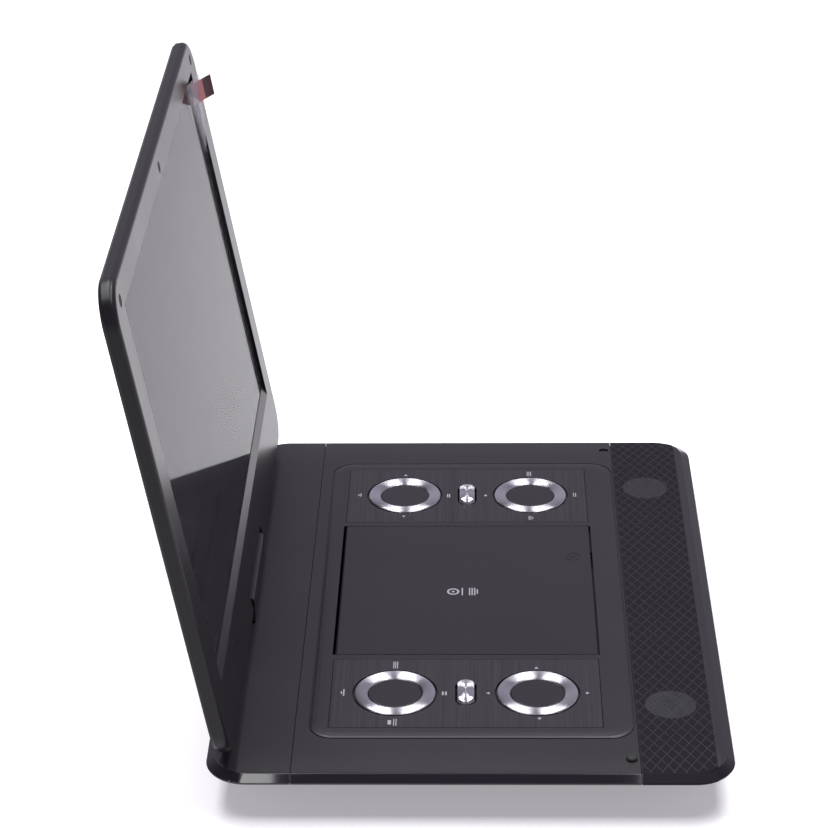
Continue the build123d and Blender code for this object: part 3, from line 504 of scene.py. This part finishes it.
def crossedRibs(centre, reach, cell, rib, height, edges, segments):
    # flat strips both ways, trimmed to a convex outline, laid on the crown and thickened
    bm = bmesh.new()
    slope = cell[1] / cell[0]
    count = int((reach[0] + reach[1] / slope) / cell[0]) + 1
    length = 2 * hypot(reach[1] / slope, reach[1]) + 4
    for way in (-1, 1):
        for step in range(-count, count + 1):
            strip = bmesh.ops.create_grid(bm, x_segments=segments, y_segments=1, size=0.5)["verts"]
            bmesh.ops.scale(bm, verts=strip, vec=(length, rib, 1))
            bmesh.ops.rotate(bm, verts=strip, matrix=Matrix.Rotation(way * atan2(cell[1], cell[0]), 3, "Z"))
            bmesh.ops.translate(bm, verts=strip, vec=(centre[0] + step * cell[0], centre[1], 0))
    for point, normal in edges:
        bmesh.ops.bisect_plane(bm, geom=bm.verts[:] + bm.edges[:] + bm.faces[:], plane_co=(*point, 0),
                               plane_no=(*normal, 0), clear_outer=True)
    for vert in bm.verts:
        vert.co.z = baseTop - crownDrop(vert.co.x) - sunk
    bmesh.ops.recalc_face_normals(bm, faces=bm.faces)
    bmesh.ops.solidify(bm, geom=bm.faces[:], thickness=-height - sunk)
    return bm


def roundEdges(centre, radius, angles):
    # a point and an outward direction at each angle
    return [((centre[0] + radius * cos(a), centre[1] + radius * sin(a)), (cos(a), sin(a))) for a in angles]


def addGrille():
    across, front, rear = grille["halfWidth"], grille["front"], grille["rear"]
    edges = [((0, rear), (0, 1)), ((0, front), (0, -1)), ((across, 0), (1, 0)), ((-across, 0), (-1, 0))]
    cornerX, cornerY = grille["corner"]
    for side, first in ((1, -90), (-1, -180)):
        angles = [radians(first + 15 * step) for step in range(1, 6)]
        edges += roundEdges((side * cornerX, cornerY), grille["cornerRadius"], angles)
    reach = (across, (rear - front) / 2 + 1)
    bm = crossedRibs((0, (front + rear) / 2), reach, grille["cell"], grille["rib"], grille["height"], edges,
                     grille["segments"])
    # the ribs are a little glossier than the strip, and their colour is painted paler as a painted
    # highlight for the light the raised ribs catch, so that they read as thin light lines
    ribs = mouldedPlastic("moulded charcoal ABS ribs with a painted highlight", {
        **casing, "colour": grille["colour"], "worn": grille["worn"], "roughness": grille["roughness"]})
    addPiece("grille_ribs", bm, ribs, "base", baseFrame)


addGrille()

# speaker gauze, in millimetres: a dark disc under finer crossed wires, over each speaker's holes
gauze = {"radius": 13.0, "cell": (2.4, 1.4), "wire": 0.3, "height": 0.12, "lift": 0.02, "thickness": 0.05,
         "steps": 48, "spots": 24}
# woven black cloth: dull and without a highlight, so that the holes under it don't show
gauzeBacking = mouldedPlastic("black speaker cloth", {
    **casing, "colour": "#131116", "worn": "#17151a", "roughness": 0.6})
# painted wire: paler than the cloth, so that the disc reads as a faint mesh
gauzeWire = mouldedPlastic("painted steel gauze", {
    **casing, "colour": "#2c2a31", "worn": "#312f36", "roughness": 0.45})


def addGauze(hand):
    centre = middleOf(f"{hand}_speaker")
    radius, spots = gauze["radius"], gauze["spots"]
    bm = bmesh.new()
    bmesh.ops.create_circle(bm, cap_ends=True, segments=gauze["steps"], radius=radius)
    bmesh.ops.translate(bm, verts=bm.verts, vec=(centre.x, centre.y, baseTop + gauze["lift"]))
    bmesh.ops.solidify(bm, geom=bm.faces[:], thickness=gauze["thickness"])
    addPiece(f"{hand}_speaker_gauze", bm, gauzeBacking, "base", baseFrame)
    rim = roundEdges((centre.x, centre.y), radius, [tau * n / spots for n in range(spots)])
    bm = crossedRibs((centre.x, centre.y), (radius, radius), gauze["cell"], gauze["wire"],
                     gauze["height"], rim, 1)
    addPiece(f"{hand}_speaker_wires", bm, gauzeWire, "base", baseFrame)


for hand in hands:
    addGauze(hand)
print("grille and gauze ready")

def stack(x, first, pitch, lengths, width=0.5):
    # printed bars one after another, like a few lines of small print
    return [("bar", x, first + step * pitch, length, width, 0) for step, length in enumerate(lengths)]


# printed marks, in millimetres and degrees: kind, x and y from the base's middle, length or radius, width
# and turn
panelMarks = {
    "left": [*stack(-108, 65, 1.2, (6.4, 2.4), 0.7), *stack(-81, 38, 1.0, (6.6, 6.6, 6.6)),
             ("bar", -136, 40.8, 4.0, 1.8, 0), *stack(-136, 38.6, -1.2, (6.2, 6.2)),
             *stack(-108.7, 12.5, 1.6, (3.4, 3.4), 0.9),
             ("triangle", -108.5, -9.2, 1.3, 1.3, 90), ("triangle", -132.3, -35, 1.3, 1.3, 180),
             ("triangle", -84, -34.3, 1.3, 1.3, 0), ("triangle", -108.3, -60, 1.3, 1.3, -90)],
    "right": [*stack(108.3, 64.4, 1.2, (4.0, 2.2), 0.6), *stack(107.3, 13.7, -1.1, (4.0, 4.0), 0.7),
              ("triangle", 82.3, 38.8, 1.2, 1.2, 180), ("triangle", 133, 38.8, 1.3, 1.3, 0),
              ("bar", 107.5, -8.5, 1.8, 1.4, 0), *stack(80, -33.4, -1.0, (4.4, 4.4, 2.4)),
              *stack(134.7, -33.2, -1.0, (5.4, 5.4, 5.4)), *stack(108.2, -59.8, -1.2, (4.6, 4.6))],
}
doorMarks = [("ring", -4.5, 9.6, 3.4, 1.1, 0), ("dot", -4.5, 9.6, 0.8, 0.8, 0),
             ("bar", -4.5, 4.6, 8.0, 0.7, 0), *stack(-4.5, 0.6, -1.4, (8.0, 8.0, 8.0, 5.0), 0.7)]
pressMarks = [("ring", 35, -57, 4.2, 0.6, 0), ("triangle", 35, -57, 2.0, 2.0, 180)]
mark = {"printed": 0.04, "raised": 0.12, "lift": 0.005, "colour": "#8a888f", "roughness": 0.5}
# screen printing: flat pale grey that stays legible, and hardly shines
ink = plainMaterial("pale grey printing ink", {
    "Base Color": linear(mark["colour"]), "Roughness": mark["roughness"]})


def addMarks(name, marks, top, body, thickness, material):
    bm = bmesh.new()
    for kind, x, y, length, width, turn in marks:
        if kind == "bar":
            shape = bmesh.ops.create_grid(bm, x_segments=1, y_segments=1, size=0.5)["verts"]
            bmesh.ops.scale(bm, verts=shape, vec=(length, width, 1))
        elif kind == "ring":
            shape = bmesh.ops.create_circle(bm, segments=40, radius=length)["verts"]
            edges = list({edge for vert in shape for edge in vert.link_edges})
            rim = bmesh.ops.extrude_edge_only(bm, edges=edges)["geom"]
            inner = [v for v in rim if isinstance(v, bmesh.types.BMVert)]
            bmesh.ops.scale(bm, verts=inner, vec=(1 - width / length, 1 - width / length, 1))
            shape = shape + inner
        else:
            sides = 3 if kind == "triangle" else 24
            shape = bmesh.ops.create_circle(bm, cap_ends=True, segments=sides, radius=length)["verts"]
            bmesh.ops.rotate(bm, verts=shape, matrix=Matrix.Rotation(radians(-90), 3, "Z"))
        bmesh.ops.rotate(bm, verts=shape, matrix=Matrix.Rotation(radians(turn), 3, "Z"))
        bmesh.ops.translate(bm, verts=shape, vec=(x, y, top))
    bmesh.ops.recalc_face_normals(bm, faces=bm.faces)
    bmesh.ops.solidify(bm, geom=bm.faces[:], thickness=-thickness)
    addPiece(name, bm, material, body, baseFrame)


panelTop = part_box("left_control_panel")[1][2] * 1000 + mark["lift"]
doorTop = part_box("disc_door")[1][2] * 1000 + mark["lift"]
for hand, marks in panelMarks.items():
    addMarks(f"{hand}_panel_marks", marks, panelTop, "base", mark["printed"], ink)
addMarks("door_marks", doorMarks, doorTop, "door", mark["printed"], ink)
# raised arrow where the door is pressed
addMarks("door_press_mark", pressMarks, doorTop, "door", mark["raised"], doorFinish)
print("marks ready")

# protective film over the screen, peeled up at its far top corner, in millimetres on the lid's face
film = {"left": -160.7, "right": 160.7, "low": 41.6, "high": 238.9, "depth": -1.75, "thickness": 0.12,
        "foldTop": 134.0, "foldSide": 184.0, "lift": 7.2, "soft": 0.12, "segments": (96, 60),
        # the film's pale lavender colour, shown more the further it is peeled, is partly a painted
        # reflection
        "colour": "#a49fac", "roughness": 0.12, "ior": 1.45, "clear": 0.03, "hazeAndReflection": 0.34,
        "hazeAndReflectionFrom": 0.25, "pressed": 0.06}
tab = {"low": 221.5, "high": 233.5, "start": 0.4, "reach": 12.6, "rise": 4.5, "split": 0.6,
       "thickness": 0.3, "inset": 3.6, "curl": 1.2, "segments": (16, 6), "pressed": 0.12,
       "pink": "#c4787a", "dark": "#5a474b"}


def filmLift(t, s):
    # how far the film stands off the glass past the line where the peel begins
    across = film["right"] - film["foldTop"]
    down = film["high"] - film["foldSide"]
    along = ((t - film["foldTop"]) * down + (s - film["high"]) * across) / (across * down)
    return film["lift"] * (hypot(max(0, along), film["soft"]) - film["soft"])


def clearFilm():
    # blown polyethylene: clear where it clings to the glass, and paler and more opaque the further it is
    # peeled up; this whitish tone is partly haze of the stretched film and partly a painted reflection of
    # the lit studio
    material, tree, shader = newMaterial("clear polyethylene protective film", {
        "Base Color": linear(film["colour"]), "Roughness": film["roughness"], "IOR": film["ior"]})
    peel = addNode(tree, "ShaderNodeAttribute", {"attribute_name": "peel"})
    hazeAndReflection = addNode(tree, "ShaderNodeMapRange",
                    {"From Max": film["hazeAndReflectionFrom"], "To Min": film["clear"], "To Max": film["hazeAndReflection"]},
                    {"Value": (peel, "Fac")})
    tree.links.new(hazeAndReflection.outputs["Result"], shader.inputs["Alpha"])
    return material


def addFilm():
    bm = bmesh.new()
    columns, rows = film["segments"]
    bmesh.ops.create_grid(bm, x_segments=columns, y_segments=rows, size=0.5)
    peel = bm.verts.layers.float.new("peel")
    for vert in bm.verts:
        t = (film["left"] + film["right"]) / 2 + vert.co.x * (film["right"] - film["left"])
        s = (film["low"] + film["high"]) / 2 + vert.co.y * (film["high"] - film["low"])
        vert.co = (t, s, film["depth"] + filmLift(t, s))
        vert[peel] = filmLift(t, s) / film["lift"]
    bmesh.ops.recalc_face_normals(bm, faces=bm.faces)
    bmesh.ops.solidify(bm, geom=bm.faces[:], thickness=film["thickness"])
    piece = addPiece("peeled_screen_film", bm, clearFilm(), "lid", lidFrame,
                     ("screen_film",))
    flatten(piece)


def flatten(piece):
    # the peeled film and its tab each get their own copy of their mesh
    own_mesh(piece)


def addTab():
    # tinted polyester: lets some light through, so that its pink glows against the dark frame
    pink = plainMaterial("pink tinted polyester tab", {
        "Base Color": linear(tab["pink"]), "Roughness": 0.3, "Alpha": 0.88})
    # its printed end is flat and dark
    dark = plainMaterial("dark printed polyester tab", {
        "Base Color": linear(tab["dark"]), "Roughness": 0.4})
    bm = bmesh.new()
    columns, rows = tab["segments"]
    bmesh.ops.create_grid(bm, x_segments=columns, y_segments=rows, size=0.5)
    for vert in bm.verts:
        out = vert.co.x + 0.5
        s = tab["low"] + (vert.co.y + 0.5) * (tab["high"] - tab["low"]) + tab["rise"] * out
        t = film["right"] - tab["inset"] + tab["curl"] * sin(out * pi * 0.8)
        vert.co = (t, s, film["depth"] + tab["start"] + out * (tab["reach"] - tab["start"]))
    printedFrom = film["depth"] + tab["split"] * tab["reach"]
    for face in bm.faces:
        face.material_index = 0 if face.calc_center_median().z < printedFrom else 1
    bmesh.ops.recalc_face_normals(bm, faces=bm.faces)
    bmesh.ops.solidify(bm, geom=bm.faces[:], thickness=tab["thickness"])
    piece = addPiece("peel_tab", bm, pink, "lid", lidFrame, ("film_pull_tab",))
    piece.data.materials.append(dark)
    flatten(piece)


addFilm()
addTab()
print("film ready")
